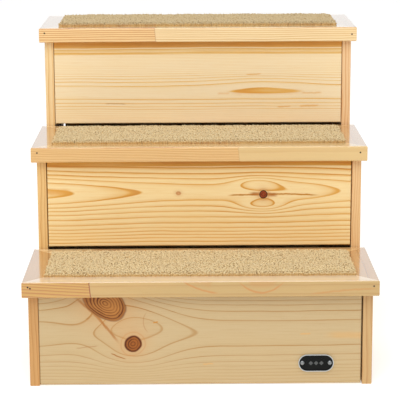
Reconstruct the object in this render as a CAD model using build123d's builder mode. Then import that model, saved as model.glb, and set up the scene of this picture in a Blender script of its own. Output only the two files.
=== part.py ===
"""Three-step block in pine, with a carpet pad let into each tread.

Millimetres. +X is the user's right, +Y is the way the steps climb and +Z is up.
The origin is on the floor, under the middle of the block.
"""

from build123d import *
import os

# Treads: four mitred rails round a panel, with the carpet lying on the panel.
tread_width = 400
tread_depth = 156
tread_thickness = 18
rail_width = 25
rail_round = 1.5
panel_thickness = 12
panel_rebate = 8
panel_clearance = 0.3
carpet_clearance = 0.3
carpet_stand = 5.5

# Stair: each riser stands a little clear of the tread below it.
riser_height = 105
riser_thickness = 11
riser_recess = 0.5
riser_gap = 2.5
floor_gap = 1
front_overhang = 10
tread_gap = 1
edge_round = 1.5

# Side boards: upright boards, three to a side, under the treads' ends.
side_overhang = 6
side_thickness = 11
board_round = 1

# Back boards: three, one above the other, between the side boards.
back_thickness = 11
back_gap = 1

# How far each riser and back board stays off the left and right side boards, from the floor up.
riser_side_gaps = [(0.2, 1.6), (0.9, 0.9), (0.5, 0.5)]
back_side_gaps = [(0.3, 0.3), (3, 0.3), (0.3, 0.3)]

# Battens and blocks inside.
batten_size = 18
batten_floor_gap = 2
cleat_tie = 40
block_length = 60

# Wood screws, and where they stand along the battens.
screw_bite = 9
screw_radius = 1.75
screw_head_radius = 3.5
screw_head_height = 2.2
screw_tip_length = 3
screw_from_end = 20
batten_screw_inset = 30
batten_side_screw_inset = 15
block_screw_offset = 12

# Brads that pin the front rails' mitres: (side, distance in from the rail's end, distance below its top).
brad_radius = 0.7
brad_length = 30
brad_sink = 0.8
brad_places = [
    [(-1, 7, 5.5), (-1, 9.6, 6.8), (1, 6.3, 6.3)],
    [(-1, 7.5, 6), (1, 8.5, 7.5)],
    [(-1, 7, 6), (1, 6, 9)],
]

# Badge on the bottom riser, held by two dome-headed nails.
badge_width = 40
badge_height = 20
badge_x = 130.5
badge_z = 25.5
badge_base = 1.2
badge_rim_width = 1.3
badge_rim_height = 2
badge_boss_width = 22
badge_boss_height = 13
badge_boss_top = 1.6
lozenge_count = 3
lozenge_radius = 2.5
lozenge_spacing = 6
lozenge_top = 2
badge_nail_spacing = 31.5
nail_head_radius = 2.5
nail_head_height = 1.4
nail_dome_radius = 3.6
nail_shank_radius = 0.8
nail_length = 9

# Worked out from the above.
steps = ["bottom", "middle", "top"]
levels = ["lower", "middle", "upper"]
board_rows = ["front", "middle", "rear"]
sides = {"left": -1, "right": 1}
step_run = tread_depth - front_overhang + tread_gap
step_rise = riser_height + riser_gap + tread_thickness
total_depth = (len(steps) - 1) * step_run + tread_depth
side_outer = tread_width / 2 - side_overhang
side_inner = side_outer - side_thickness
batten_x = side_inner - batten_size / 2
screw_length = batten_size + screw_bite
back_inner = total_depth / 2 - back_thickness
tread_fronts = [i * step_run - total_depth / 2 for i in range(len(steps))]
tread_tops = [floor_gap + riser_height + tread_thickness + i * step_rise for i in range(len(steps))]
tread_unders = [top - tread_thickness for top in tread_tops]
riser_fronts = [front + front_overhang + riser_recess for front in tread_fronts]
riser_backs = [front + riser_thickness for front in riser_fronts]
riser_bottoms = [under - riser_height for under in tread_unders]
board_fronts = [front + front_overhang for front in tread_fronts]
board_backs = board_fronts[1:] + [total_depth / 2]
cleat_fronts = [back + batten_size for back in riser_backs]
cleat_backs = [joint + cleat_tie for joint in board_fronts[1:]] + [back_inner]
cleat_joints = board_fronts[1:] + [back_inner]
back_height = (tread_unders[-1] - floor_gap - (len(levels) - 1) * back_gap) / len(levels)
back_bottoms = [floor_gap + i * (back_height + back_gap) for i in range(len(levels))]
block_middles = [bottom + back_height / 2 for bottom in back_bottoms]

os.makedirs("parts", exist_ok=True)


def write_node(part, node):
    """Label a finished piece and write it as its own STEP file."""
    part.label = node
    export_step(part, f"parts/{node}.step")


def box_between(low, high):
    """Fill the space between two opposite corners, inside the builder that is open."""
    spans = [b - a for a, b in zip(low, high)]
    with Locations(Vector(*low)):
        Box(*spans, align=(Align.MIN, Align.MIN, Align.MIN))


# Screws. The pattern screw points up, with its flat head level with the origin.
with BuildPart() as pattern_screw:
    with BuildSketch(Plane.XZ):
        with BuildLine():
            Polyline(
                (0, 0),
                (screw_head_radius, 0),
                (screw_radius, screw_head_height),
                (screw_radius, screw_length - screw_tip_length),
                (0, screw_length),
                close=True,
            )
        make_face()
    revolve(axis=Axis.Z)


def screw_group(places):
    """Copies of the pattern screw, one at each place, pointing along the place's own +Z."""
    with BuildPart() as screws:
        with Locations(*places):
            add(pattern_screw.part)
    return screws.part


def outward(sign, y, z):
    """A screw driven sideways through a batten into a side board."""
    return Location((sign * (side_inner - batten_size), y, z), (0, sign * 90, 0))


tread_screw_places = []
cleat_screw_places = []
riser_screw_places = []
batten_screw_places = []
back_screw_places = []
for sign in sides.values():
    for front, joint, back, under in zip(cleat_fronts, cleat_joints, cleat_backs, tread_unders):
        cleat_middle = under - batten_size / 2
        cleat_bottom = under - batten_size
        third = (joint - front) / 3
        for y in (front + third, joint - third):
            tread_screw_places.append(Location((sign * batten_x, y, cleat_bottom)))
        for y in (front + screw_from_end, joint - screw_from_end):
            cleat_screw_places.append(outward(sign, y, cleat_middle))
        if back > joint:
            cleat_screw_places.append(outward(sign, joint + screw_from_end, cleat_middle))
    for back, bottom, under in zip(riser_backs, riser_bottoms, tread_unders):
        for z in (bottom + batten_screw_inset, under - batten_screw_inset):
            riser_screw_places.append(Location((sign * batten_x, back + batten_size, z), (90, 0, 0)))
        for z in (bottom + batten_side_screw_inset, (bottom + under) / 2):
            batten_screw_places.append(outward(sign, back + batten_size / 2, z))
    for front, back in zip([cleat_fronts[0]] + board_fronts[1:], cleat_joints):
        for y in (front + screw_from_end, back - screw_from_end):
            batten_screw_places.append(outward(sign, y, batten_floor_gap + batten_size / 2))
    for z in block_middles:
        block_front = back_inner - batten_size
        back_screw_places.append(Location((sign * batten_x, block_front, z + block_screw_offset), (-90, 0, 0)))
        batten_screw_places.append(outward(sign, block_front + batten_size / 2, z - block_screw_offset))

tread_screws = screw_group(tread_screw_places)
cleat_screws = screw_group(cleat_screw_places)
riser_screws = screw_group(riser_screw_places)
batten_screws = screw_group(batten_screw_places)
back_screws = screw_group(back_screw_places)
write_node(tread_screws, "tread_screws")
write_node(cleat_screws, "cleat_screws")
write_node(riser_screws, "riser_screws")
write_node(batten_screws, "batten_screws")
write_node(back_screws, "back_board_screws")


# Side boards. The side screws cut their own holes.
def side_board(sign, front, back, top):
    """One upright side board, standing on the floor, with its long edges eased."""
    near, far = sorted((sign * side_inner, sign * side_outer))
    with BuildPart() as board:
        box_between((near, front, 0), (far, back, top))
        fillet(board.edges().filter_by(Axis.Z), board_round)
        add(cleat_screws, mode=Mode.SUBTRACT)
        add(batten_screws, mode=Mode.SUBTRACT)
    return board.part


for side, sign in sides.items():
    for row, front, back, top in zip(board_rows, board_fronts, board_backs, tread_unders):
        write_node(side_board(sign, front, back, top), f"{side}_side_board_{row}")

# Badge and its nails, proud of the bottom riser's face.
badge_plane = Plane.XZ.offset(-riser_fronts[0])
with BuildPart() as pattern_nail:
    with BuildSketch(Plane.XZ):
        with BuildLine():
            Polyline(
                (nail_head_radius, 0),
                (nail_shank_radius, 0),
                (nail_shank_radius, nail_length),
                (0, nail_length),
                (0, -nail_head_height),
            )
            RadiusArc((0, -nail_head_height), (nail_head_radius, 0), -nail_dome_radius)
        make_face()
    revolve(axis=Axis.Z)

nail_xs = [badge_x - badge_nail_spacing / 2, badge_x + badge_nail_spacing / 2]
nail_y = riser_fronts[0] - badge_base
with BuildPart() as badge_nails:
    with Locations(*[Location((x, nail_y, badge_z), (-90, 0, 0)) for x in nail_xs]):
        add(pattern_nail.part)
write_node(badge_nails.part, "badge_nails")

with BuildPart() as badge_plate:
    with BuildSketch(badge_plane):
        with Locations((badge_x, badge_z)):
            SlotOverall(badge_width, badge_height)
    extrude(amount=badge_base)
    with BuildSketch(badge_plane):
        with Locations((badge_x, badge_z)):
            SlotOverall(badge_width, badge_height)
            offset(amount=-badge_rim_width, mode=Mode.SUBTRACT)
    extrude(amount=badge_rim_height)
    with BuildSketch(badge_plane):
        with Locations((badge_x, badge_z)):
            Ellipse(badge_boss_width / 2, badge_boss_height / 2)
    extrude(amount=badge_boss_top)
    with BuildSketch(badge_plane):
        with Locations((badge_x, badge_z)):
            with GridLocations(lozenge_spacing, 0, lozenge_count, 1):
                RegularPolygon(lozenge_radius, side_count=4)
    extrude(amount=lozenge_top)
    add(badge_nails.part, mode=Mode.SUBTRACT)
write_node(badge_plate.part, "badge_plate")


# Risers, with the arrises of the face rounded.
def riser(front, bottom, gaps):
    """One riser board between the side boards."""
    left_gap, right_gap = gaps
    with BuildPart() as board:
        box_between(
            (left_gap - side_inner, front, bottom),
            (side_inner - right_gap, front + riser_thickness, bottom + riser_height),
        )
        fillet(board.faces().sort_by(Axis.Y)[0].edges(), edge_round)
        add(riser_screws, mode=Mode.SUBTRACT)
        add(badge_nails.part, mode=Mode.SUBTRACT)
    return board.part


for step, front, bottom, gaps in zip(steps, riser_fronts, riser_bottoms, riser_side_gaps):
    write_node(riser(front, bottom, gaps), f"{step}_riser")


# Back boards, with the arrises of the outer face rounded.
def back_board(bottom, gaps):
    """One board of the back, flush with the side boards' rear edges."""
    left_gap, right_gap = gaps
    with BuildPart() as board:
        box_between(
            (left_gap - side_inner, back_inner, bottom),
            (side_inner - right_gap, back_inner + back_thickness, bottom + back_height),
        )
        fillet(board.faces().sort_by(Axis.Y)[-1].edges(), edge_round)
        add(back_screws, mode=Mode.SUBTRACT)
    return board.part


for level, bottom, gaps in zip(levels, back_bottoms, back_side_gaps):
    write_node(back_board(bottom, gaps), f"{level}_back_board")


# Battens inside: upright behind each riser, along the floor, under each tread, and blocks at the back.
def batten(sign, front, back, bottom, top, screws):
    """A square batten against a side board's inner face, cut by the screws that pass through it."""
    near, far = sorted((sign * side_inner, sign * (side_inner - batten_size)))
    with BuildPart() as strip:
        box_between((near, front, bottom), (far, back, top))
        for group in screws:
            add(group, mode=Mode.SUBTRACT)
    return strip.part


for side, sign in sides.items():
    for step, back, bottom, under in zip(steps, riser_backs, riser_bottoms, tread_unders):
        upright = batten(sign, back, back + batten_size, bottom, under, [riser_screws, batten_screws])
        write_node(upright, f"{step}_riser_batten_{side}")
    for step, front, back, under in zip(steps, cleat_fronts, cleat_backs, tread_unders):
        cleat = batten(sign, front, back, under - batten_size, under, [tread_screws, cleat_screws])
        write_node(cleat, f"{step}_tread_cleat_{side}")
    for level, z in zip(levels, block_middles):
        low, high = z - block_length / 2, z + block_length / 2
        block = batten(sign, back_inner - batten_size, back_inner, low, high, [back_screws, batten_screws])
        write_node(block, f"{level}_back_block_{side}")
    floor_top = batten_floor_gap + batten_size
    floor_strip = batten(sign, cleat_fronts[0], back_inner, batten_floor_gap, floor_top, [batten_screws])
    write_node(floor_strip, f"floor_batten_{side}")

# Brads. They stop short of the front rails' faces, so each leaves a small open hole.
brad_lines = []
for front, top, places in zip(tread_fronts, tread_tops, brad_places):
    for sign, inset, drop in places:
        brad_lines.append((sign * (tread_width / 2 - inset), front, top - drop))


def brad_group(start, end):
    """Round rods at every brad's place, from one depth behind the rail's face to another."""
    with BuildPart() as rods:
        for x, front, z in brad_lines:
            with BuildSketch(Plane.XZ.offset(-front - start)):
                with Locations((x, z)):
                    Circle(brad_radius)
            extrude(amount=start - end)
    return rods.part


brads = brad_group(brad_sink, brad_sink + brad_length)
brad_holes = brad_group(-1, brad_sink + brad_length)
write_node(brads, "rail_brads")


# Treads.
def tread_rail(front, under, place):
    """One of a tread's four rails, mitred at both ends and rebated below for the panel."""
    middle = front + tread_depth / 2
    inner_x, inner_y = tread_width / 2 - rail_width, tread_depth / 2 - rail_width
    outer_x, outer_y = tread_width / 2, tread_depth / 2
    run, across, outermost, corners = {
        "front": (Axis.X, Axis.Y, 0, [(-1, -1), (1, -1)]),
        "back": (Axis.X, Axis.Y, -1, [(1, 1), (-1, 1)]),
        "left": (Axis.Y, Axis.X, 0, [(-1, 1), (-1, -1)]),
        "right": (Axis.Y, Axis.X, -1, [(1, -1), (1, 1)]),
    }[place]
    outer = [(sx * outer_x, middle + sy * outer_y) for sx, sy in corners]
    inner = [(sx * inner_x, middle + sy * inner_y) for sx, sy in reversed(corners)]
    with BuildPart() as rail:
        with BuildSketch(Plane.XY.offset(under)):
            with BuildLine():
                Polyline(*outer, *inner, close=True)
            make_face()
        extrude(amount=tread_thickness)
        fillet(rail.edges().filter_by(run).group_by(across)[outermost], rail_round)
        with BuildSketch(Plane.XY.offset(under)):
            with Locations((0, middle)):
                Rectangle(2 * (inner_x + panel_rebate), 2 * (inner_y + panel_rebate))
        extrude(amount=panel_thickness, mode=Mode.SUBTRACT)
        add(brad_holes, mode=Mode.SUBTRACT)
    return rail.part


def inlay(front, bottom, top, rebate, clearance):
    """A flat slab inside a tread's frame: the panel in its rebate, or the carpet in the opening."""
    width = tread_width - 2 * (rail_width - rebate + clearance)
    depth = tread_depth - 2 * (rail_width - rebate + clearance)
    with BuildPart() as slab:
        with BuildSketch(Plane.XY.offset(bottom)):
            with Locations((0, front + tread_depth / 2)):
                Rectangle(width, depth)
        extrude(amount=top - bottom)
        add(tread_screws, mode=Mode.SUBTRACT)
    return slab.part


for step, front, under, top in zip(steps, tread_fronts, tread_unders, tread_tops):
    for place in ("front", "back", "left", "right"):
        write_node(tread_rail(front, under, place), f"{step}_tread_{place}_rail")
    panel_top = under + panel_thickness
    write_node(inlay(front, under, panel_top, panel_rebate, panel_clearance), f"{step}_tread_panel")
    write_node(inlay(front, panel_top, top + carpet_stand, 0, carpet_clearance), f"{step}_carpet")
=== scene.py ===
# %% [markdown]
# # A carpeted three-step block in pine
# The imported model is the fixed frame: every board, rail and screw is already in its place.
# This lesson gives those pieces their finish, sets real carpet pile where the model has plain
# slabs, and then sets up a plain studio. Lengths are metres, as in the frame, except where a
# name ends in `_mm` or a note says millimetres.

# %% Load the frame
import math

import bpy
import numpy as np
from mathutils import Matrix, Vector


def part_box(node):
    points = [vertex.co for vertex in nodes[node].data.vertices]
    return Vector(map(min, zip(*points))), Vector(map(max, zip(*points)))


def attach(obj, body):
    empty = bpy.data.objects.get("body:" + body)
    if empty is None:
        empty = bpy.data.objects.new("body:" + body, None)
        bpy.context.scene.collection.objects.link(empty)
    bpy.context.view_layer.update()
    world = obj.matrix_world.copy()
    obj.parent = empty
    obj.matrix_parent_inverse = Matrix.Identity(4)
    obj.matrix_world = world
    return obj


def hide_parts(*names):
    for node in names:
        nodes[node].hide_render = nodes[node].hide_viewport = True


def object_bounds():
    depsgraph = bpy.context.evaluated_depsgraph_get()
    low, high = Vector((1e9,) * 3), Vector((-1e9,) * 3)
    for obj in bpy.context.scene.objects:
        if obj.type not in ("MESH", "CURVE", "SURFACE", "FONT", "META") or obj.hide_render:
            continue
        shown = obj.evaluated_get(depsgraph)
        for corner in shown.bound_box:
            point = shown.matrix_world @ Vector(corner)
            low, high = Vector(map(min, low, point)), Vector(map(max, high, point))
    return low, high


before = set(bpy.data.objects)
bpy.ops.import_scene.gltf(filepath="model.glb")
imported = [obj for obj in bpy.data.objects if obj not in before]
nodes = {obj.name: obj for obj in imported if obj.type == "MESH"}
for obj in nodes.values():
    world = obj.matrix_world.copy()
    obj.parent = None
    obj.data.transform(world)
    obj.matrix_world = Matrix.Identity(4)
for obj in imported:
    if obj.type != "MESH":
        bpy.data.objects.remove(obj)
cad_low, cad_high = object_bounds()
MM = 0.001
STEPS = ("bottom", "middle", "top")
print(len(nodes), "nodes, overall size", [round(side, 4) for side in cad_high - cad_low])


# %% [markdown]
# ## Shader sums written as sums
# A wood figure is arithmetic: distances from the heart of the tree, counted in years. It can be
# wired by hand, node by node, but a sum is easier to read as a sum. `Value` wraps one socket of
# a shader tree, and its operators add the Math nodes.

# %% A socket with arithmetic
class Value:
    """A number or a colour that changes over a surface."""

    def __init__(self, finish, socket):
        self.finish, self.socket = finish, socket

    def maths(self, operation, *others):
        """Put this value through one Math node."""
        sockets = dict(enumerate((self, *others)))
        return self.finish.node("ShaderNodeMath", {"operation": operation}, sockets)

    def __add__(self, other):
        return self.maths("ADD", other)

    def __sub__(self, other):
        return self.maths("SUBTRACT", other)

    def __rsub__(self, other):
        return self.finish.node("ShaderNodeMath", {"operation": "SUBTRACT"}, {0: other, 1: self})

    def __mul__(self, other):
        return self.maths("MULTIPLY", other)

    def __truediv__(self, other):
        return self.maths("DIVIDE", other)

    def __neg__(self):
        return self * -1

    __radd__, __rmul__ = __add__, __mul__

    def rise(self, start, end):
        """0 below start, 1 above end, and a smooth step between them."""
        settings = {"interpolation_type": "SMOOTHSTEP"}
        sockets = {"Value": self, "From Min": start, "From Max": end}
        return self.finish.node("ShaderNodeMapRange", settings, sockets)


print("a Value knows +, -, *, /, maths and rise")

# %% [markdown]
# `Finish` is one material. Nodes can be added and linked one by one, but then every finish repeats
# the same few lines, so one method takes a node's type, its settings and its sockets. Colours go
# through a Mix node, because a Math node would turn them grey.

# %% A material that makes its own nodes
COLOUR_A, COLOUR_B, MIXED_COLOUR = 6, 7, 2  # A Mix node's sockets for colours, by number.


class Finish:
    """One material."""

    def __init__(self, name):
        self.material = bpy.data.materials.new(name)
        self.material.use_nodes = True
        self.tree = self.material.node_tree
        self.shader = self.tree.nodes["Principled BSDF"]

    def node(self, kind, settings=None, sockets=None, output=0):
        """Add a node: its type, its settings, then its sockets' values or links."""
        made = self.tree.nodes.new(kind)
        for setting, value in (settings or {}).items():
            setattr(made, setting, value)
        for name, value in (sockets or {}).items():
            self.feed(made.inputs[name], value)
        return Value(self, made.outputs[output])

    def feed(self, socket, value):
        """Link a Value to a socket, or set the socket to a plain number or colour."""
        if isinstance(value, Value):
            self.tree.links.new(value.socket, socket)
        else:
            socket.default_value = value

    def mix(self, share, start, end):
        """The colour that is a share of the way from start to end."""
        sockets = {"Factor": share, COLOUR_A: start, COLOUR_B: end}
        return self.node("ShaderNodeMix", {"data_type": "RGBA"}, sockets, MIXED_COLOUR)

    def place(self, origin=(0, 0, 0)):
        """Where the surface is, as three Values in millimetres from an origin in metres."""
        spot = self.node("ShaderNodeTexCoord", output="Object")
        parts = self.node("ShaderNodeSeparateXYZ", {}, {0: spot}).socket.node
        return [(Value(self, part) - start) * (1 / MM) for part, start in zip(parts.outputs, origin)]

    def noise(self, x, y, z, detail=2.0, rough=0.5):
        """Soft noise about 0, with features one unit across."""
        spot = self.node("ShaderNodeCombineXYZ", {}, {0: x, 1: y, 2: z})
        sockets = {"Vector": spot, "Scale": 1.0, "Detail": detail, "Roughness": rough}
        return self.node("ShaderNodeTexNoise", {"noise_dimensions": "3D"}, sockets) - 0.5

    def surface(self, **values):
        """Set or link the shader's own sockets, with _ for each space in a socket's name."""
        for name, value in values.items():
            self.feed(self.shader.inputs[name.replace("_", " ")], value)
        return self

    def bump(self, height, height_mm, strength=1.0):
        """Let a height from 0 to 1 shade the surface as if it stood height_mm proud."""
        sockets = {"Height": height, "Distance": height_mm * MM, "Strength": strength}
        return self.surface(Normal=self.node("ShaderNodeBump", {}, sockets))


def tint(red, green, blue):
    """A display colour, 0 to 255 a channel, as the linear colour a shader wants."""
    channels = [c / 255 for c in (red, green, blue)]
    linear = [c / 12.92 if c <= 0.04045 else ((c + 0.055) / 1.055) ** 2.4 for c in channels]
    return (*linear, 1.0)


def coat_node(name, finish):
    """Give a CAD node a finish, in its own material slot."""
    slots = nodes[name].material_slots
    if slots:
        slots[0].material = finish.material
    else:
        nodes[name].data.materials.append(finish.material)


print("white paper, as a shader reads it:", [round(channel, 3) for channel in tint(243, 243, 243)])

# %% [markdown]
# ## Pine
# Pine shows pale spring wood with a tan line for each year. Across the tree those lines are
# rings round the heart, so the figure is one sum in three directions: the distance from the
# heart, divided by a year's growth. A board near the heart then shows arches on its face, lines
# at its edges and arcs on its ends, from one sum and without a seam. It could be a stretched
# noise instead, but noise has no rings and no branches.
#
# The rest are the tree's accidents. `wander` is how much the grain wavers and `slope` how far it
# runs out of the board. `surge` is how good and poor years follow each other, `dives` is where the
# heart comes nearer the face along the board, `swells` are humps that close the rings into loops,
# and `bands` are runs of darker years. A year's line grows slowly from the pale wood by its `glow`
# and sharply from its `start`. A `Knot` is a branch: the grain parts round it. A `Mark` is a crack,
# a bark seam or a pitch pocket.

# %% The looks of one board
class Pine:
    """One piece of pine. Places are millimetres from the piece's own low corner."""

    def __init__(self, heart, year, seed, **looks):
        self.heart, self.year, self.seed = heart, year, seed
        self.wander = looks.get("wander", 1.0)
        self.slope = looks.get("slope", 0.0)
        self.start = looks.get("start", 0.74)
        self.surge = looks.get("surge", (40.0, 0.3, 0.0))
        self.dives = looks.get("dives", ())
        self.swells = looks.get("swells", ())
        self.bands = looks.get("bands", ())
        self.knots = looks.get("knots", ())
        self.marks = looks.get("marks", ())
        self.strength = looks.get("strength", 0.75)
        self.glow = looks.get("glow", 0.4)
        self.light = tint(*looks.get("light", (240, 213, 165)))
        self.line = tint(*looks.get("line", (222, 170, 106)))
        self.deep = tint(*looks.get("deep", (186, 122, 62)))
        self.blush = tint(*looks.get("blush", (226, 176, 108)))


class Knot:
    """A branch cut through by the board's face."""

    def __init__(self, centre, radius, looks, stretch=1.0, lean=0.0, push=(40, 24), halo=0.5,
                 collar=0.0):
        self.centre, self.radius, self.stretch, self.lean = centre, radius, stretch, lean
        self.push, self.halo, self.collar = push, halo, collar
        self.pale, self.dark, self.ring_mm, self.rim = looks


class Mark:
    """A thin line in the wood, such as a crack, a bark seam or a pitch pocket."""

    def __init__(self, start, end, width, shade, share=0.7, bow=0.0):
        self.start, self.end, self.width, self.bow = start, end, width, bow
        self.shade, self.share = tint(*shade), share


print("a year's line without looks is", Pine((0, 0), 4.0, 1.0).strength, "strong")

# %% [markdown]
# The rings come first, as a number: how many years out from the heart a place lies. Its whole
# part says which year, and its fraction says how late in that year. The grain is bent before the
# distance is taken, so that a knot carries the lines round itself.

# %% Counting the years
DRIFT_MM = 12
RIPPLE_MM = 3.5
PARTING = 0.95


def hill(along, across, centre, reach):
    """1 at the centre, falling away over the reach in each direction."""
    side_a = (along - centre[0]) / reach[0]
    side_b = (across - centre[1]) / reach[1]
    return (-(side_a * side_a + side_b * side_b)).maths("EXPONENT")


def meander(finish, along, across, deep, pine):
    """The place across the board, bent as the grain wanders and parts round knots."""
    drift = finish.noise(along * 0.006, across * 0.012 + pine.seed, deep * 0.012, detail=1.0)
    ripple = finish.noise(along * 0.03, across * 0.08, deep * 0.08 + pine.seed, detail=1.5)
    bent = across + (drift * DRIFT_MM + ripple * RIPPLE_MM) * pine.wander
    if pine.slope:
        bent = bent + along * pine.slope
    for knot in pine.knots:
        off = across - knot.centre[1]
        bent = bent - off * hill(along, across, knot.centre, knot.push) * PARTING
    return bent


def growth(along, across, bent, deep, pine):
    """How many years out from the heart a place lies."""
    depth = deep - pine.heart[1]
    for place, reach, lower_mm in pine.dives:
        side = (along - place) / reach
        depth = depth - (-(side * side)).maths("EXPONENT") * lower_mm
    off = bent - pine.heart[0]
    out = (off * off + depth * depth).maths("SQRT")
    period, share, phase = pine.surge
    turn = 2 * math.pi / period
    years = (out + (out * turn + phase).maths("SINE") * (share / turn)) / pine.year
    for centre, reach, rings in pine.swells:
        years = years + hill(along, across, centre, reach) * rings
    return years


print("the grain wavers by up to about", (DRIFT_MM + RIPPLE_MM) / 2, "mm")

# %% [markdown]
# A mark and a knot are painted over the rings. A mark could be a stretched noise, but then it
# could not be put where the board has it, so it is a line with a start and an end. A knot is a
# small tree of its own: stained wood round it, a dark rim, and close rings within.

# %% Marks and knots
KNOT_STAIN = tint(206, 146, 84)
KNOT_COLLAR = tint(190, 128, 70)
MOST_SHAKE_MM = 2.0


def draw_mark(finish, along, across, mark, colour):
    """A bowed line that fades at both ends."""
    run = math.dist(mark.start, mark.end)
    way_a, way_c = ((e - s) / run for s, e in zip(mark.start, mark.end))
    step_a, step_c = along - mark.start[0], across - mark.start[1]
    share = (step_a * way_a + step_c * way_c) / run
    waver = min(mark.width * 1.6, MOST_SHAKE_MM)
    shake = finish.noise(along * 0.15, across * 0.15, mark.width, detail=2.0) * waver
    side = step_c * way_a - step_a * way_c - share * (1 - share) * (4 * mark.bow) + shake
    ends = share.rise(0.0, 0.2) * (1 - share.rise(0.8, 1.0))
    core = 1 - side.maths("ABSOLUTE").rise(mark.width * 0.2, mark.width)
    return finish.mix(core * ends * mark.share, colour, mark.shade)


def branch(finish, along, across, knot, pine, colour):
    """Paint a knot: stained wood round it, a dark rim, and close rings within."""
    turn_c, turn_s = math.cos(knot.lean), math.sin(knot.lean)
    step_a, step_c = along - knot.centre[0], across - knot.centre[1]
    main = (step_a * turn_c + step_c * turn_s) / knot.stretch
    side = step_c * turn_c - step_a * turn_s
    size = knot.radius
    rough = finish.noise(along * 0.9 / size, across * 0.9 / size, pine.seed, detail=3.0)
    out = (main * main + side * side).maths("SQRT") + rough * (size * 0.25)
    spread = out / (size * 1.6)
    stain = (-(spread * spread)).maths("EXPONENT")
    colour = finish.mix(stain * knot.halo, colour, KNOT_STAIN)
    ring_line = 1 - (out / size - 1.38).maths("ABSOLUTE").rise(0.02, 0.11)
    colour = finish.mix(ring_line * knot.collar, colour, KNOT_COLLAR)
    ring = (out / knot.ring_mm).maths("FRACT")
    rings = ring.rise(0.3, 0.8) * (1 - ring.rise(0.85, 1.0))
    shade = rings * (rough * 1.4 + 0.75) + out.rise(size * 0.6, size * 0.95) * knot.rim + rough * 0.6
    wood = finish.mix(shade.maths("MINIMUM", 1.0), tint(*knot.pale), tint(*knot.dark))
    return finish.mix(1 - out.rise(size * 0.93, size * 1.08), colour, wood)


print("marks waver by up to", MOST_SHAKE_MM / 2, "mm")

# %% [markdown]
# Now the number of years becomes a colour. Late in each year the pale wood darkens to its line,
# and the strongest lines deepen once more. Fibres, streaks and slow clouds go over that, or the
# board would look printed.

# %% From years to colour
UNEVEN_YEARS = 1.4
FIBRE_SHARE = 0.25
STREAK_SHARE = 0.35
CLOUD_SHARE = 0.25


def figure(finish, along, across, deep, pine):
    """The colour of the wood and the height of its grain."""
    bent = meander(finish, along, across, deep, pine)
    years = growth(along, across, bent, deep, pine)
    ring, which = years.maths("FRACT"), years.maths("FLOOR")
    odd = finish.noise(which * 7.31 + pine.seed, along * 0.009, across * 0.01, detail=1.5)
    late = ring.rise(0.35, 0.9) * pine.glow + ring.rise(pine.start, 0.93) * (1 - pine.glow)
    late = late * (1 - ring.rise(0.94, 1.0)) * (1 + odd * UNEVEN_YEARS) * pine.strength
    for low, high, times, plus in pine.bands:
        inside = bent.rise(low - 0.8, low + 0.8) * (1 - bent.rise(high - 0.8, high + 0.8))
        late = late * (1 + inside * (times - 1)) + inside * plus * (1 + odd)
    fibre = finish.noise(along * 0.02, across * 1.3, deep * 1.3 + pine.seed, detail=4.0, rough=0.6)
    cloud = finish.noise(along * 0.01 + 3, across * 0.05, deep * 0.05 + pine.seed, detail=2.0)
    colour = finish.mix(late.maths("MINIMUM", 1.0), pine.light, pine.line)
    colour = finish.mix((late - 0.75).rise(0.0, 0.9) * 0.9, colour, pine.deep)
    colour = finish.mix(fibre.rise(-0.1, 0.3) * FIBRE_SHARE, colour, pine.line)
    streak = finish.noise(along * 0.045, across * 0.8, pine.seed + 2, detail=3.0, rough=0.7)
    colour = finish.mix(streak.rise(0.06, 0.3) * STREAK_SHARE, colour, pine.line)
    colour = finish.mix(cloud.rise(-0.2, 0.4) * CLOUD_SHARE, colour, pine.blush)
    for mark in pine.marks:
        colour = draw_mark(finish, along, across, mark, colour)
    for knot in pine.knots:
        colour = branch(finish, along, across, knot, pine, colour)
    return colour, late * 0.5 + fibre * 0.6


print("fibres, streaks and clouds take up to", (FIBRE_SHARE, STREAK_SHARE, CLOUD_SHARE), "of the colour")

# %% [markdown]
# ## Lacquer
# Lacquer sits over the wood as a clear coat. It is glossier on the treads, which are handled
# and walked on, than on the boards. The grain runs along one axis of each piece, so the same
# figure serves every board once its three directions are put in order.

# %% Lacquer, and a finished board
ALONG_ACROSS_DEEP = {"X": (0, 2, 1), "Y": (1, 0, 2), "Z": (2, 0, 1)}
BOARD_GLOSS = dict(Coat_Weight=0.1, Coat_Roughness=0.2, Roughness=0.5, Specular_IOR_Level=0.2)
TREAD_GLOSS = dict(Coat_Weight=1.0, Coat_Roughness=0.05, Roughness=0.2)
BARE = dict(Coat_Weight=0.0, Roughness=0.7)
GRAIN_MM = 0.12
GRAIN_STRENGTH = 0.3


def wood_surface(finish, colour, grain, gloss):
    """Set a wood's colour and gloss, with its grain standing a little proud."""
    finish.surface(Base_Color=colour, **gloss)
    finish.bump(grain, GRAIN_MM, GRAIN_STRENGTH)


def pine_board(name, grain_axis, pine, gloss):
    """Finish one piece whose grain runs along the given axis."""
    finish = Finish(name)
    spot = finish.place(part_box(name)[0])
    along, across, deep = (spot[i] for i in ALONG_ACROSS_DEEP[grain_axis])
    colour, grain = figure(finish, along, across, deep, pine)
    wood_surface(finish, colour, grain, gloss)
    coat_node(name, finish)


print("the grain stands", GRAIN_MM, "mm proud under the lacquer")

# %% [markdown]
# ## Tones of knots and marks
# A knot's tones are its pale wood, its dark wood, the millimetres from ring to ring, and how dark
# its rim is. They have names here, because the same kinds of knot come back on other boards.

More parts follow.
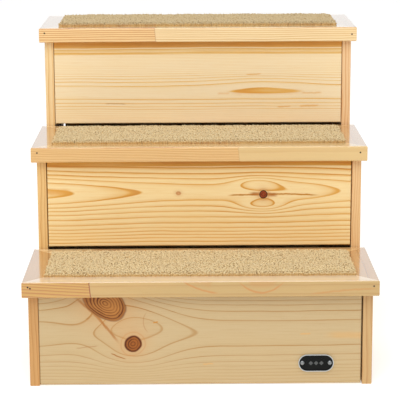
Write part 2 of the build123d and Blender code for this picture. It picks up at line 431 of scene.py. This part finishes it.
# %% Knots, bark, pitch and resin
RING_KNOT = ((180, 119, 56), (100, 46, 10), 2.6, 0.4)
ROUND_KNOT = ((152, 86, 28), (88, 38, 4), 3.0, 0.65)
DARK_KNOT = ((156, 64, 18), (50, 18, 2), 2.8, 1.0)
PIN_KNOT = ((214, 160, 104), (190, 130, 76), 1.6, 0.4)
BARK, PITCH, AMBER = (158, 98, 34), (192, 126, 30), (224, 162, 74)
RESIN = (172, 100, 30)
print("kinds of knot:", {"ringed": RING_KNOT, "round": ROUND_KNOT, "dark": DARK_KNOT, "pin": PIN_KNOT})

# %% [markdown]
# ## The risers
# Three wide boards face the user, and each is its own board. One pine for all three would be
# shorter, but the eye finds a repeat at once. Places run from the board's lower left corner.
#
# The bottom riser has a big ringed knot cut by its top edge, with bark beside it, and a round
# knot below. Two swells pull the rings between them into a long pointed loop.

# %% Bottom riser
bottom_riser = Pine(
    heart=(60, 25), year=4.4, seed=3.1, wander=0.35, surge=(40, 0.38, 4.24), glow=0.12, start=0.82,
    light=(198, 174, 132), line=(172, 130, 74), deep=(146, 96, 40), blush=(196, 168, 118), strength=0.75,
    swells=[((80, 100), (56, 24), -2.6), ((108, 60), (50, 42), -1.75), ((50, 58), (34, 34), 0.7)],
    bands=[(84, 110, 1.5, 0.0)],
    knots=[
        Knot((75, 96), 17.5, RING_KNOT, 1.5, -0.6, push=(46, 26), collar=0.0),
        Knot((106, 48), 9.5, ROUND_KNOT, 1.08, 0.7, push=(42, 25), collar=0.35),
    ],
    marks=[
        Mark((38, 106), (92, 46), 2.2, BARK, 0.8, 3.0),
        Mark((50, 96), (78, 62), 1.4, BARK, 0.7, 3.0),
        Mark((80, 38), (99, 30), 1.1, BARK, 0.9, -1.0),
        Mark((40, 43), (68, 46), 0.8, BARK, 0.5),
        Mark((128.5, 72.5), (135, 74), 1.2, PITCH, 0.9),
        Mark((294, 58), (308, 59), 1.6, AMBER, 0.4),
        Mark((184, 23.5), (198, 24), 1.4, AMBER, 0.4),
        Mark((122, 86), (124, 60), 0.9, BARK, 0.4, -5.0),
        Mark((318, 57.5), (430, 55), 6.0, AMBER, 0.3),
    ],
)
pine_board("bottom_riser", "X", bottom_riser, BOARD_GLOSS)
print("bottom riser:", len(bottom_riser.knots), "knots,", len(bottom_riser.marks), "marks")

# %% [markdown]
# The middle riser has a small dark knot with a loop of grain above and below it. Cracks filled
# with pitch run out of the knot along the grain. Its top edge is painted darker and more orange,
# as painted shade and warm bounced light under the tread above.

# %% Middle riser
middle_riser = Pine(
    heart=(66, 21), year=4.7, seed=8.7, wander=0.4, surge=(34, 0.28, 2.22), glow=0.35,
    light=(247, 221, 166), line=(221, 160, 64), deep=(200, 126, 38), blush=(243, 204, 130), strength=1.1,
    dives=[(-20, 110, -7), (380, 60, 3)],
    swells=[((252, 78), (28, 8), -1.75), ((258, 49), (30, 8), -2.3), ((300, 70), (40, 12), -0.5)],
    # The first band, along the top edge, is painted shade and warm bounced light under the tread.
    bands=[(98, 110, 1.2, 1.1), (84, 98, 1.7, 0.1)],
    knots=[
        Knot((259, 63), 5, DARK_KNOT, push=(12, 7), halo=0.8, collar=0.3),
        Knot((157, 65), 2.4, PIN_KNOT, 1.3, push=(8, 5), halo=0.4),
    ],
    marks=[
        Mark((214, 62), (268, 63.5), 1.5, PITCH, 1.0),
        Mark((250, 63.5), (328, 61.8), 1.5, PITCH, 1.0, 0.6),
        Mark((240, 64), (278, 62.3), 3.4, RESIN, 0.85),
        Mark((-16, 68), (30, 67), 5.5, AMBER, 0.7),
    ],
)
pine_board("middle_riser", "X", middle_riser, BOARD_GLOSS)
print("middle riser:", len(middle_riser.knots), "knots,", len(middle_riser.marks), "marks")

# %% [markdown]
# The top riser is straight and clear, with close years, dark late lines along its top edge and
# one amber flame. It has no knot.

# %% Top riser
top_riser = Pine(
    heart=(39.5, 11.9), year=2.4, seed=5.2, wander=0.25, surge=(60, 0.35, 1.78), glow=0.3,
    light=(244, 224, 186), line=(230, 185, 102), deep=(214, 142, 48), blush=(243, 214, 154), strength=1.15,
    swells=[((270, 41), (44, 9), -0.1), ((267, 55), (70, 12), -0.8)],
    bands=[
        (64, 88, 0.5, 0.0), (88.5, 91.5, 1.0, 0.9), (92.5, 95.5, 1.0, 0.7), (97, 110, 1.0, 1.5),
        (-5, 17, 0.4, 0.0),
    ],
    marks=[
        Mark((217, 39.5), (322, 40), 5.0, AMBER, 0.32),
        Mark((206, 38), (224, 38), 2.2, AMBER, 0.35),
        Mark((312, 38), (342, 38.5), 1.8, AMBER, 0.5),
        Mark((62, 25.5), (92, 25), 0.8, BARK, 0.6),
        Mark((310, 21), (338, 22), 1.8, AMBER, 0.6),
        Mark((282, 20), (302, 21.5), 1.3, AMBER, 0.6),
        Mark((242, 62), (264, 63), 1.3, AMBER, 0.7),
    ],
)
pine_board("top_riser", "X", top_riser, BOARD_GLOSS)
print("top riser:", len(top_riser.bands), "bands,", len(top_riser.marks), "marks")

# %% [markdown]
# ## Side boards
# The side boards stand upright, so long lines run up them and show on their narrow front edges.
# Each has its own seed and its own distance from the heart, as boards from one stack do, so a
# loop over their tones is enough. The tones are lighter towards the top, partly the wood's own
# tone and partly painted light, for the light that falls from above. One board shows the loops of
# a grain that dips into its edge.

# %% Upright boards
EDGE_LOOPS = [
    Mark((38, 0), (70, 0), 1.0, AMBER, 0.8, 5.5),
    Mark((74, 10), (92, 10), 0.8, AMBER, 0.6, -4.0),
]
# Lighter towards the top boards: partly each board's own wood, partly painted light from above.
SIDE_TONES_AND_FALLOFF = {
    "left_side_board_front": ((198, 150, 94), (180, 128, 74)),
    "right_side_board_front": ((201, 166, 116), (176, 128, 80)),
    "left_side_board_middle": ((234, 194, 130), (210, 158, 92)),
    "right_side_board_middle": ((238, 200, 148), (216, 160, 106)),
    "left_side_board_rear": ((242, 212, 160), (222, 174, 108)),
    "right_side_board_rear": ((240, 202, 154), (214, 156, 104)),
}
for index, (name, (light, line)) in enumerate(SIDE_TONES_AND_FALLOFF.items()):
    heart = (44 + 21 * (index % 3), 34 - 11 * (index % 2))
    side_pine = Pine(
        heart, 3.4 + 0.6 * (index % 3), 11.3 + 4.7 * index, wander=0.9, light=light, line=line,
        deep=(178, 116, 60), strength=0.9, swells=[((90 + 30 * index, heart[0]), (50, 30), -2.0)],
        marks=EDGE_LOOPS if name == "right_side_board_middle" else [],
    )
    pine_board(name, "Z", side_pine, BOARD_GLOSS)
print(len(SIDE_TONES_AND_FALLOFF), "side boards finished")

# %% [markdown]
# ## Back boards
# The back stands against a wall, so a maker puts the boards with more knots there. Their grain
# runs from side to side, as on the risers.

# %% Back boards
BACK_KNOTS = {
    "lower": [Knot((92, 44), 7.0, ROUND_KNOT, 1.1, 0.4, push=(34, 18)), Knot((300, 92), 3.0, PIN_KNOT)],
    "middle": [Knot((286, 88), 4.5, DARK_KNOT, push=(20, 10), collar=0.3)],
    "upper": [Knot((206, 30), 9.0, RING_KNOT, 1.3, -0.3, push=(40, 22)), Knot((44, 84), 2.5, PIN_KNOT)],
}
for index, (level, knots) in enumerate(BACK_KNOTS.items()):
    heart = (70 - 34 * index, 20 + 9 * index)
    year = 4.2 + 0.5 * index
    back_pine = Pine(heart, year, 31.0 + 5 * index, wander=0.7, strength=0.85, knots=knots)
    pine_board(f"{level}_back_board", "X", back_pine, BOARD_GLOSS)
print(len(BACK_KNOTS), "back boards finished")

# %% [markdown]
# ## Tread rails
# The long rails are glued up from shorter lengths with finger joints, so the wood changes from
# one side of a zigzag to the other. Two separate pieces could meet there, but the real rail is
# machined as one, so one material mixes two figures by a share that steps across the zigzag.
# Brads pin the mitres from the front. Each has left a dark stain, listed as its distance in from
# the rail's end, negative for the right end, and its distance below the top.

# %% One rail of two kinds of pine
FINGER_MM = 9.0
FINGER_PITCH_MM = 8.0
GLUE_LINE = tint(140, 66, 24)
# A painted highlight for the lacquered top edge of the front rails.
ARRIS_HIGHLIGHT = tint(252, 230, 200)
BRAD_STAIN = tint(64, 38, 20)


def joined_rail(name, left, right, joint_mm, glue=0.4, highlight_share=0.2, brads=()):
    """A long rail of two kinds of pine that meet in a finger joint. Its top edge has a painted highlight.
    """
    finish = Finish(name)
    low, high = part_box(name)
    long_mm, thick_mm = (high.x - low.x) / MM, (high.z - low.z) / MM
    along, deep, across = finish.place(low)
    first, first_grain = figure(finish, along, across, deep, left)
    second, second_grain = figure(finish, along, across, deep, right)
    zigzag = (deep / FINGER_PITCH_MM).maths("PINGPONG", 0.5) * (2 * FINGER_MM)
    past = along - joint_mm - zigzag + across * 0.1
    share = past.rise(-0.3, 0.3)
    seam = past.rise(-0.9, -0.1) * (1 - past.rise(0.1, 0.9)) * glue
    colour = finish.mix(seam, finish.mix(share, first, second), GLUE_LINE)
    # Painted highlight: a pale strip along the top edge, where the rounded arris catches the light.
    arris_highlight = across.rise(thick_mm - 0.8, thick_mm - 0.1) * highlight_share
    colour = finish.mix(arris_highlight, colour, ARRIS_HIGHLIGHT)
    for in_mm, drop_mm in brads:
        off_a, off_c = along - in_mm % long_mm, across - (thick_mm - drop_mm)
        stain = 1 - (off_a * off_a + off_c * off_c).maths("SQRT").rise(0.6, 1.5)
        colour = finish.mix(stain * 0.9, colour, BRAD_STAIN)
    wood_surface(finish, colour, first_grain * (1 - share) + second_grain * share, TREAD_GLOSS)
    coat_node(name, finish)


print("the fingers are", FINGER_MM, "mm long and", FINGER_PITCH_MM, "mm from tip to tip")

# %% [markdown]
# Each length of a rail comes from another board, so there is one set of looks for each kind of
# wood. The bottom rail has the strongest painted highlight along its top edge, and its glue line is dark.

# %% Kinds of rail wood
STRIPED = dict(wander=0.3, strength=2.0, glow=0.3, light=(243, 208, 146), line=(210, 138, 66),
               deep=(188, 104, 40))
PALE = dict(wander=0.4, strength=1.4, glow=0.3, light=(246, 220, 168), line=(228, 180, 112))
GOLDEN = dict(wander=0.3, strength=1.8, glow=0.3, light=(231, 190, 119), line=(203, 138, 66))
PLAIN = dict(wander=0.4, strength=0.45, glow=0.5, light=(224, 190, 126), line=(210, 168, 100))
TAN = dict(wander=0.3, strength=1.6, glow=0.4, light=(202, 155, 74), line=(170, 110, 40), slope=0.05)
DULL = dict(wander=0.4, strength=0.7, glow=0.3, light=(193, 159, 95), line=(176, 134, 70))
SHORT = dict(wander=0.5, strength=1.0, glow=0.3, light=(200, 156, 104), line=(172, 124, 74))
CURL = (194, 132, 60)
CURLS = [
    Mark((240, 20), (296, 20), 1.8, CURL, 0.9, -15),
    Mark((250, 20), (287, 20), 7.0, CURL, 0.35, -5),
    Mark((178, 20), (222, 4), 1.6, CURL, 0.9, -3),
    Mark((186, 20), (214, 13), 6.0, CURL, 0.3, 2),
    Mark((318, 2), (402, 9), 1.6, CURL, 0.6, 1.5),
]
print(len(CURLS), "curls of grain on the bottom rail")

# %% [markdown]
# Every front rail has its two woods, the place of its joint in millimetres from the left end, and
# the darkness of its glue line. The back rails and the short side rails are hardly seen, so they
# follow from the step's number.

# %% Rail finishes
JOINED = {
    "top": (Pine((-60, 30), 3.0, 1.7, **STRIPED), Pine((-60, 30), 3.0, 4.1, **PALE), 147, 0.3),
    "middle": (Pine((-70, 30), 2.3, 6.3, **GOLDEN), Pine((60, 90), 6.0, 2.2, **PLAIN), 248, 0.15),
    "bottom": (Pine((-60, 20), 3.8, 7.9, **TAN), Pine((-50, 60), 9.0, 9.4, marks=CURLS, **DULL), 77, 1.0),
}
BRADS = {
    "bottom": ((7.0, 5.5), (9.6, 6.8), (-6.3, 6.3)),
    "middle": ((7.5, 6.0), (-8.5, 7.5)),
    "top": ((7.0, 6.0), (-6.0, 9.0)),
}
# How strong the painted highlight along each front rail's top edge is.
ARRIS_HIGHLIGHT_SHARE = {"bottom": 0.7, "middle": 0.2, "top": 0.2}
for index, (step, (left, right, joint_mm, glue)) in enumerate(JOINED.items()):
    joined_rail(f"{step}_tread_front_rail", left, right, joint_mm, glue, ARRIS_HIGHLIGHT_SHARE[step], BRADS[step])
    back_left = Pine((-30, 20), 3.4, 12.0 + index, **PALE)
    back_right = Pine((40, 30), 4.0, 15.0 + index, **GOLDEN)
    joined_rail(f"{step}_tread_back_rail", back_left, back_right, 230 - 60 * index)
    for turn, side in enumerate(("left", "right")):
        short = Pine((12 + 30 * turn, -34), 4.0, 20.0 + 3 * index + turn, **SHORT)
        pine_board(f"{step}_tread_{side}_rail", "Y", short, TREAD_GLOSS)
print("rails finished, with joints at", [joint for _, _, joint, _ in JOINED.values()], "mm")

# %% [markdown]
# ## Hidden wood
# Battens and blocks have no lacquer. The panels are plywood, in thin layers that show as stripes
# at the edges. Their stripes come from the height alone, folded back and forth.

# %% Battens, blocks and panels
TWO_PLIES_MM = 4
HIDDEN_WOOD = [name for name in sorted(nodes)
               if name.rsplit("_", 1)[-1] in ("left", "right") and "board" not in name]
for index, name in enumerate(HIDDEN_WOOD):
    axis = "Y" if "cleat" in name or "floor" in name else "Z"
    heart = (index * 7 % 31 - 6, -12)
    strip = Pine(heart, 3.2, 40.0 + index, light=(226, 200, 156), line=(204, 162, 108))
    pine_board(name, axis, strip, BARE)

plywood = Finish("plywood")
ply_x, ply_y, ply_z = plywood.place()
ply_fibre = plywood.noise(ply_x * 0.05, ply_y * 1.2, ply_z * 0.3, detail=3.0)
ply_layer = (ply_z / TWO_PLIES_MM).maths("PINGPONG", 0.5).rise(0.1, 0.4)
ply_share = (ply_fibre + 0.5) * 0.6 + ply_layer * 0.2
plywood.surface(Base_Color=plywood.mix(ply_share, tint(222, 190, 144), tint(184, 144, 96)), Roughness=0.7)
plywood.bump(ply_fibre, 0.1, 0.3)
for step in STEPS:
    coat_node(f"{step}_tread_panel", plywood)
print(len(HIDDEN_WOOD), "hidden strips and", len(STEPS), "panels finished")

# %% [markdown]
# ## Metal
# The screws are yellow zinc, the badge's nails are dull nickel, and the brads are bare wire that
# has gone dark. A flat metal would do, but a slow cloud in its colour and roughness keeps the
# heads from looking like mirrors.

# %% Screws, brads and nails
def metal(name, bright, dull, rough):
    """A bare or plated metal, a little dulled."""
    finish = Finish(name)
    x, y, z = finish.place()
    cloud = finish.noise(x * 0.6, y * 0.6, z * 0.6, detail=3.0) + 0.5
    colour = finish.mix(cloud, tint(*bright), tint(*dull))
    finish.surface(Base_Color=colour, Metallic=1.0, Roughness=cloud * 0.25 + rough)
    return finish.bump(cloud, 0.04, 0.3)


zinc = metal("yellow_zinc", (214, 196, 140), (168, 144, 90), 0.25)
for name in ("tread_screws", "cleat_screws", "riser_screws", "batten_screws", "back_board_screws"):
    coat_node(name, zinc)
brads = metal("dark_wire", (24, 16, 12), (12, 8, 6), 0.7)
brads.surface(Metallic=0.3, Specular_IOR_Level=0.1)
coat_node("rail_brads", brads)
nickel = metal("dull_nickel", (170, 174, 176), (112, 116, 118), 0.3)
coat_node("badge_nails", nickel)
print("metals:", [made.material.name for made in (zinc, brads, nickel)])

# %% [markdown]
# ## Badge
# A small enamelled plate. Its rim has worn bright. A second material on the rim's faces would end
# in a hard line, so the colour follows the distance in from the plate's rounded outline, which is
# a straight stretch between two half circles. The raised lozenges have worn too, so height above
# the plate's field shows the metal.

# %% Badge finish
badge = Finish("badge_enamel")
badge_low, badge_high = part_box("badge_plate")
badge_mid = (badge_low + badge_high) / 2
end_radius = (badge_high.z - badge_low.z) / 2 / MM
straight = (badge_high.x - badge_low.x) / 2 / MM - end_radius
badge_x, badge_y, badge_z = badge.place((badge_mid.x, badge_low.y, badge_mid.z))
past_end = (badge_x.maths("ABSOLUTE") - straight).maths("MAXIMUM", 0.0)
from_edge = end_radius - (past_end * past_end + badge_z * badge_z).maths("SQRT")
wear = badge.noise(badge_x * 0.9, badge_y, badge_z * 0.9, detail=3.0)
rim = 1 - (from_edge + wear * 0.8).rise(0.6, 1.1)
crest = (1 - (badge_y + wear * 0.5).rise(0.05, 0.3)) * from_edge.rise(2.0, 3.0)
bright = (rim + crest * 0.18).maths("MINIMUM", 1.0)
badge.surface(Base_Color=badge.mix(bright, tint(9, 12, 12), tint(192, 196, 196)))
badge.surface(Metallic=bright * 0.8, Roughness=0.4 + wear * 0.2, Specular_IOR_Level=0.15)
badge.bump(wear, 0.06, 0.4)
coat_node("badge_plate", badge)
print("badge finished, half circles of", round(end_radius, 2), "mm")

# %% [markdown]
# ## Carpet
# The carpet is a woven backing with short tufts of cut yarn standing on it. A bumpy slab would
# do from far off, but its edge would be a straight line. Real tufts give the edge its broken
# outline and the shade between the yarns, so each tuft is a small twisted stub with a blunt
# tip, and all the stubs of one carpet are a single mesh. The tufts near the edges lean outward
# over the rails.

# %% A piece of our own
def mesh_piece(name, points, faces, finish):
    """A mesh object that rides with the block."""
    mesh = bpy.data.meshes.new(name)
    mesh.from_pydata(points, [], faces)
    mesh.materials.append(finish.material)
    piece = bpy.data.objects.new(name, mesh)
    bpy.context.scene.collection.objects.link(piece)
    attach(piece, "root")
    return piece


print("pieces made here ride with the body 'root'")

# %% [markdown]
# The tufts stand in rows of stitches, each a little out of place. At the four edges the machine
# has cut between two rows, so a closer fringe of tufts shows there.

# %% Where the tufts stand
TUFT_PITCH = 2.12 * MM
FRINGE_PITCH = 1.5 * MM
FRINGE_INSET = 0.9 * MM
OUT_OF_PLACE = 0.4


def tuft_feet(low, high, random):
    """Where the tufts stand: a grid of stitches, each a little out of place."""
    columns, rows = (int((high[i] - low[i]) / TUFT_PITCH) for i in (0, 1))
    stitch = np.stack(np.meshgrid(np.arange(columns), np.arange(rows)), axis=-1).reshape(-1, 2) + 0.5
    stitch += random.uniform(-OUT_OF_PLACE, OUT_OF_PLACE, stitch.shape)
    return np.array(low[:2]) + stitch / (columns, rows) * (np.array(high[:2]) - np.array(low[:2]))


def fringe_feet(low, high, random):
    """A closer row of tufts just inside the four edges."""
    near, far = np.array(low[:2]) + FRINGE_INSET, np.array(high[:2]) - FRINGE_INSET
    across, back = (np.arange(near[i], far[i], FRINGE_PITCH) for i in (0, 1))
    rows = [np.column_stack([across, np.full(len(across), y)]) for y in (near[1], far[1])]
    rows += [np.column_stack([np.full(len(back), x), back]) for x in (near[0], far[0])]
    feet = np.concatenate(rows)
    return feet + random.uniform(-OUT_OF_PLACE, OUT_OF_PLACE, feet.shape) * MM


print("mm between tufts, inside and at the edges:", [round(p / MM, 2) for p in (TUFT_PITCH, FRINGE_PITCH)])

# %% [markdown]
# One tuft is three rings of four points and a tip. The tufts lean at random and in slow swirls,
# as a pile does that has been walked on, and those near an edge lean over it and are shorter.
# All tufts are worked out at once, as arrays, because a loop over thousands of tufts is slow.

# %% The shape of a tuft
TUFT_RADIUS = 1.42 * MM
TUFT_SIDES = 4
TUFT_LEVELS = ((0.0, 0.8, 0.0), (0.55, 1.0, 0.4), (0.9, 0.92, 0.92))  # Height, width and lean.
BACKING = 2.5 * MM
EDGE_LEAN = 1.9 * MM
EDGE_REACH = 3.5 * MM
MIDDLE_HEIGHT = 0.93
EDGE_DROP = 0.12


def tuft_points(feet, low, high, random):
    """Every tuft's points: rings of TUFT_SIDES points, and a tip."""
    count = len(feet)
    full = high.z - low.z - BACKING
    middle, half = (np.array(high[:2]) + low[:2]) / 2, (np.array(high[:2]) - low[:2]) / 2
    offset = feet - middle
    near_edge = np.clip((np.abs(offset) - half + EDGE_REACH) / EDGE_REACH, 0, 1)
    swirl = np.sin(feet[:, :1] * 61 + 3 * np.sin(feet[:, 1:] * 83)) * (0.3, 0.1)
    lean = random.normal(0, 0.6 * MM, (count, 2)) + swirl * MM
    lean += near_edge * np.sign(offset) * EDGE_LEAN * random.uniform(0.4, 1.25, (count, 1))
    patch = np.sin(feet[:, 0] * 97 + 1.7) * np.sin(feet[:, 1] * 131 + 0.6)
    edge = near_edge.max(axis=1)
    height = full * (MIDDLE_HEIGHT + 0.03 * patch + random.normal(0, 0.045, count) - EDGE_DROP * edge)
    height = np.minimum(height, full) * (1 - 0.3 * edge * random.uniform(0, 1, count))
    turn = random.uniform(0, 2 * np.pi, count)
    points = []
    for share, width, reach in TUFT_LEVELS:
        for side in range(TUFT_SIDES):
            angle = turn + side * 2 * np.pi / TUFT_SIDES + share * 1.1
            size = TUFT_RADIUS * width * random.uniform(0.78, 1.12, count)
            round_the_stem = np.column_stack([np.cos(angle), np.sin(angle)]) * size[:, None]
            level = low.z + BACKING + height * share
            points.append(np.column_stack([feet + lean * reach + round_the_stem, level]))
    points.append(np.column_stack([feet + lean, low.z + BACKING + height]))
    return np.stack(points, axis=1).reshape(-1, 3)


def tuft_faces(count):
    """Every tuft's triangles, closed at the foot and the tip."""
    levels = len(TUFT_LEVELS)
    tip = levels * TUFT_SIDES
    one = []
    for side in range(TUFT_SIDES):
        beside = (side + 1) % TUFT_SIDES
        for ring in range(levels - 1):
            a, b = ring * TUFT_SIDES + side, ring * TUFT_SIDES + beside
            one += [(a, b, b + TUFT_SIDES), (a, b + TUFT_SIDES, a + TUFT_SIDES)]
        one.append((tip - TUFT_SIDES + side, tip - TUFT_SIDES + beside, tip))
    one += [(0, side + 1, side) for side in range(1, TUFT_SIDES - 1)]
    return (np.array(one)[None] + np.arange(count)[:, None, None] * (tip + 1)).reshape(-1, 3)


print("one tuft has", len(tuft_faces(1)), "triangles")

# %% [markdown]
# The yarn is beige. Its colour drifts slowly over the carpet and changes from tuft to tuft, and
# it is painted deeper and more golden down between the tufts, as painted shade where the tufts
# shade each other, so height counts too. The backing under it is jute, woven in two directions.
# It is only seen through gaps, so two folded stripes do.

# %% Yarn and jute
YARN_SHADE, YARN_LIGHT = tint(224, 193, 136), tint(252, 232, 184)
YARN_CLOUD, YARN_STRAND = tint(232, 208, 164), tint(206, 170, 116)
# Both of the next two colours are painted shade: a dim tone over the whole yarn, and a golden one at the
# tufts' feet.
PAINTED_PILE_SHADE, YARN_FOOT_PAINTED_SHADE = tint(116, 102, 84), tint(216, 174, 98)
WEAVE_MM = 1.6


def yarn_finish(name, foot_z, tip_z, shade_share):
    """The yarn of one carpet, with painted shade: golden at the foot and dimmed as a whole."""
    finish = Finish(name)
    x, y, z = finish.place((0, 0, foot_z))
    height = z / ((tip_z - foot_z) / MM)
    tuft = finish.noise(x * 0.5, y * 0.5, z * 0.6, detail=1.0)
    cloud = finish.noise(x * 0.03, y * 0.05, 0.0, detail=2.0)
    strand = finish.noise(x * 3.0, y * 3.0, z * 1.2, detail=2.0)
    colour = finish.mix(tuft.rise(-0.25, 0.25), YARN_SHADE, YARN_LIGHT)
    colour = finish.mix(cloud.rise(-0.2, 0.3) * 0.4, colour, YARN_CLOUD)
    colour = finish.mix(strand.rise(-0.1, 0.4) * 0.25, colour, YARN_STRAND)
    # Painted shade: the whole yarn dimmed, more on the upper carpets.
    colour = finish.mix(shade_share, colour, PAINTED_PILE_SHADE)
    # Painted shade: deeper and more golden towards the foot of each tuft, where the tufts shade each
    # other.
    colour = finish.mix(1 - height.rise(0.2, 0.85), colour, YARN_FOOT_PAINTED_SHADE)
    finish.surface(Base_Color=colour, Roughness=0.9, Sheen_Weight=0.2, Sheen_Roughness=0.5)
    return finish.bump(strand, 0.2, 0.5)


jute = Finish("jute_backing")
jute_x, jute_y, jute_z = jute.place()
weave = (jute_x / WEAVE_MM).maths("PINGPONG", 0.5) * (jute_y / WEAVE_MM).maths("PINGPONG", 0.5)
jute_colour = jute.mix(weave.rise(0.0, 0.25), tint(150, 116, 72), tint(204, 172, 120))
jute.surface(Base_Color=jute_colour, Roughness=0.95)
jute.bump(weave, 0.4, 0.8)
print("jute woven at", WEAVE_MM, "mm")

# %% [markdown]
# The backing is a slab with rounded corners. A cloth simulation could lay it, but it lies flat in
# a tight frame and has no folds, so it is drawn as it lies. It is the sheet that the model's plain
# slab stands for, and the pile is a piece that goes with it.

# %% Backing
CORNER = 3 * MM
CORNER_STEPS = 6


def backing_slab(name, low, high, finish):
    """A thin slab with rounded corners, and its width and depth."""
    outline = []
    corners = ((high.x - CORNER, high.y - CORNER), (low.x + CORNER, high.y - CORNER),
               (low.x + CORNER, low.y + CORNER), (high.x - CORNER, low.y + CORNER))
    for quarter, centre in enumerate(corners):
        for step in range(CORNER_STEPS + 1):
            angle = (quarter + step / CORNER_STEPS) * math.pi / 2
            outline.append(Vector(centre) + CORNER * Vector((math.cos(angle), math.sin(angle))))
    count = len(outline)
    points = [(p.x, p.y, z) for z in (low.z, low.z + BACKING) for p in outline]
    faces = [tuple(range(count))[::-1], tuple(range(count, 2 * count))]
    faces += [(i, (i + 1) % count, (i + 1) % count + count, i + count) for i in range(count)]
    return mesh_piece(name, points, faces, finish), (high.x - low.x, high.y - low.y)


print("corners of", round(CORNER / MM, 1), "mm, in", CORNER_STEPS, "steps")

# %% [markdown]
# The three carpets are cut alike. A little painted shade dims each one's yarn, partly its tone, and
# more on the upper carpets, whose tufts' shaded sides show as they are seen more edge-on. Each
# could have its own random generator, but one generator with a fixed seed serves all three just as
# well, and every run gives the same tufts.

# %% The three carpets
# How much painted shade dims each carpet's yarn, more for the upper carpets.
PAINTED_PILE_SHADE_SHARE = {"bottom": 0.14, "middle": 0.2, "top": 0.34}
random = np.random.default_rng(20)
for step in STEPS:
    low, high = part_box(f"{step}_carpet")
    feet = np.concatenate([tuft_feet(low, high, random), fringe_feet(low, high, random)])
    yarn = yarn_finish(f"{step}_yarn", low.z + BACKING, high.z, PAINTED_PILE_SHADE_SHARE[step])
    points = tuft_points(feet, low, high, random)
    pile = mesh_piece(f"{step}_carpet_pile", points.tolist(), tuft_faces(len(feet)).tolist(), yarn)
    backing, cut = backing_slab(f"{step}_carpet_backing", low, high, jute)
    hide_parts(f"{step}_carpet")
    print(step, "carpet:", len(feet), "tufts,", len(pile.data.polygons), "triangles")

# %% [markdown]
# ## Studio
# A pale floor runs far back. It is greyer towards the front, so that less light comes up from it
# and the lower boards stay a little darker. It glows a little to stay white round the block, so
# a dark mat lies under the block to keep that glow out of it.

# %% Floor and mat
def flat_stage(name, low, high, z, finish):
    """A level rectangle that isn't part of the object."""
    points = [(low[0], low[1], z), (high[0], low[1], z), (high[0], high[1], z), (low[0], high[1], z)]
    mesh = bpy.data.meshes.new(name)
    mesh.from_pydata(points, [], [(0, 1, 2, 3)])
    mesh.materials.append(finish.material)
    piece = bpy.data.objects.new(name, mesh)
    bpy.context.scene.collection.objects.link(piece)


GREY_FROM_MM, WHITE_FROM_MM = -900.0, -260.0
FLOOR_LOW, FLOOR_HIGH = (-9, -6), (9, 30)
MAT_INSET = Vector((0.02, 0.02, 0))
MAT_HEIGHT = 0.3 * MM

pale = Finish("pale_floor")
near = pale.place()[1].rise(GREY_FROM_MM, WHITE_FROM_MM)
pale.surface(Base_Color=pale.mix(near, tint(236, 236, 236), tint(243, 243, 243)))
floor_glow = pale.mix(near, tint(110, 110, 110), tint(172, 172, 172))
pale.surface(Emission_Color=floor_glow, Emission_Strength=1.0)
pale.surface(Roughness=0.9, Specular_IOR_Level=0.1)
flat_stage("studio_floor", FLOOR_LOW, FLOOR_HIGH, 0, pale)
dark = Finish("dark_mat")
dark.surface(Base_Color=(0.02, 0.02, 0.02, 1), Roughness=1.0, Specular_IOR_Level=0.0)
flat_stage("dark_mat", cad_low + MAT_INSET, cad_high - MAT_INSET, MAT_HEIGHT, dark)
print("floor from", FLOOR_LOW, "to", FLOOR_HIGH, "metres")

# %% [markdown]
# ## Light
# A pale sky gives soft light from everywhere. A large soft lamp hangs above and in front, and a
# long strip lies behind, low enough to shine along the lacquered treads. The lamps could be
# spots, but their small bright glints would show on the lacquer.

# %% Sky and lamps
def soft_lamp(name, place, aim, width, height, power, tone=(1.0, 1.0, 1.0)):
    """A rectangular lamp at a place, turned towards its aim and itself unseen."""
    lamp = bpy.data.lights.new(name, "AREA")
    lamp.shape, lamp.size, lamp.size_y, lamp.energy = "RECTANGLE", width, height, power
    lamp.color = tone
    holder = bpy.data.objects.new(name, lamp)
    holder.location = place
    holder.rotation_euler = (Vector(aim) - Vector(place)).to_track_quat("-Z", "Y").to_euler()
    holder.visible_camera = False
    bpy.context.scene.collection.objects.link(holder)


SKY_STRENGTH = 0.66
sky = bpy.data.worlds.new("studio_sky")
sky.use_nodes = True
sky.node_tree.nodes["Background"].inputs["Color"].default_value = (1.0, 0.99, 0.98, 1)
sky.node_tree.nodes["Background"].inputs["Strength"].default_value = SKY_STRENGTH
bpy.context.scene.world = sky
soft_lamp("overhead_lamp", place=(-0.15, -1.05, 1.5), aim=(0, 0, 0.2), width=1.2, height=1.2, power=15)
soft_lamp("back_strip", place=(0, 2.4, 0.8), aim=(0, 0, 0.3), width=3.2, height=0.8, power=3,
          tone=(0.9, 0.96, 1.0))
bpy.context.scene.view_settings.view_transform = "Standard"
print("a sky and two lamps")

# %% [markdown]
# ## Camera
# A long lens about two metres in front and a little above the block, tilted down at it. A short
# lens nearer by would spread the lower treads. The heading and the roll are the small turns of a
# camera set up by hand.

# %% Place the camera
SENSOR_MM, LENS_MM = 36.0, 148.2
STAND = (-0.0128, -1.9997, 0.6022)
HEADING, TILT, ROLL = (math.radians(angle) for angle in (-0.402, 77.762, -0.243))

camera = bpy.data.cameras.new("camera")
camera.sensor_width = SENSOR_MM
camera.lens = LENS_MM
viewer = bpy.data.objects.new("camera", camera)
turned = Matrix.Rotation(HEADING, 4, "Z") @ Matrix.Rotation(TILT, 4, "X") @ Matrix.Rotation(ROLL, 4, "Z")
viewer.matrix_world = Matrix.Translation(STAND) @ turned
bpy.context.scene.collection.objects.link(viewer)
bpy.context.scene.camera = viewer
print("the camera stands", round(-STAND[1], 2), "m in front of the middle")
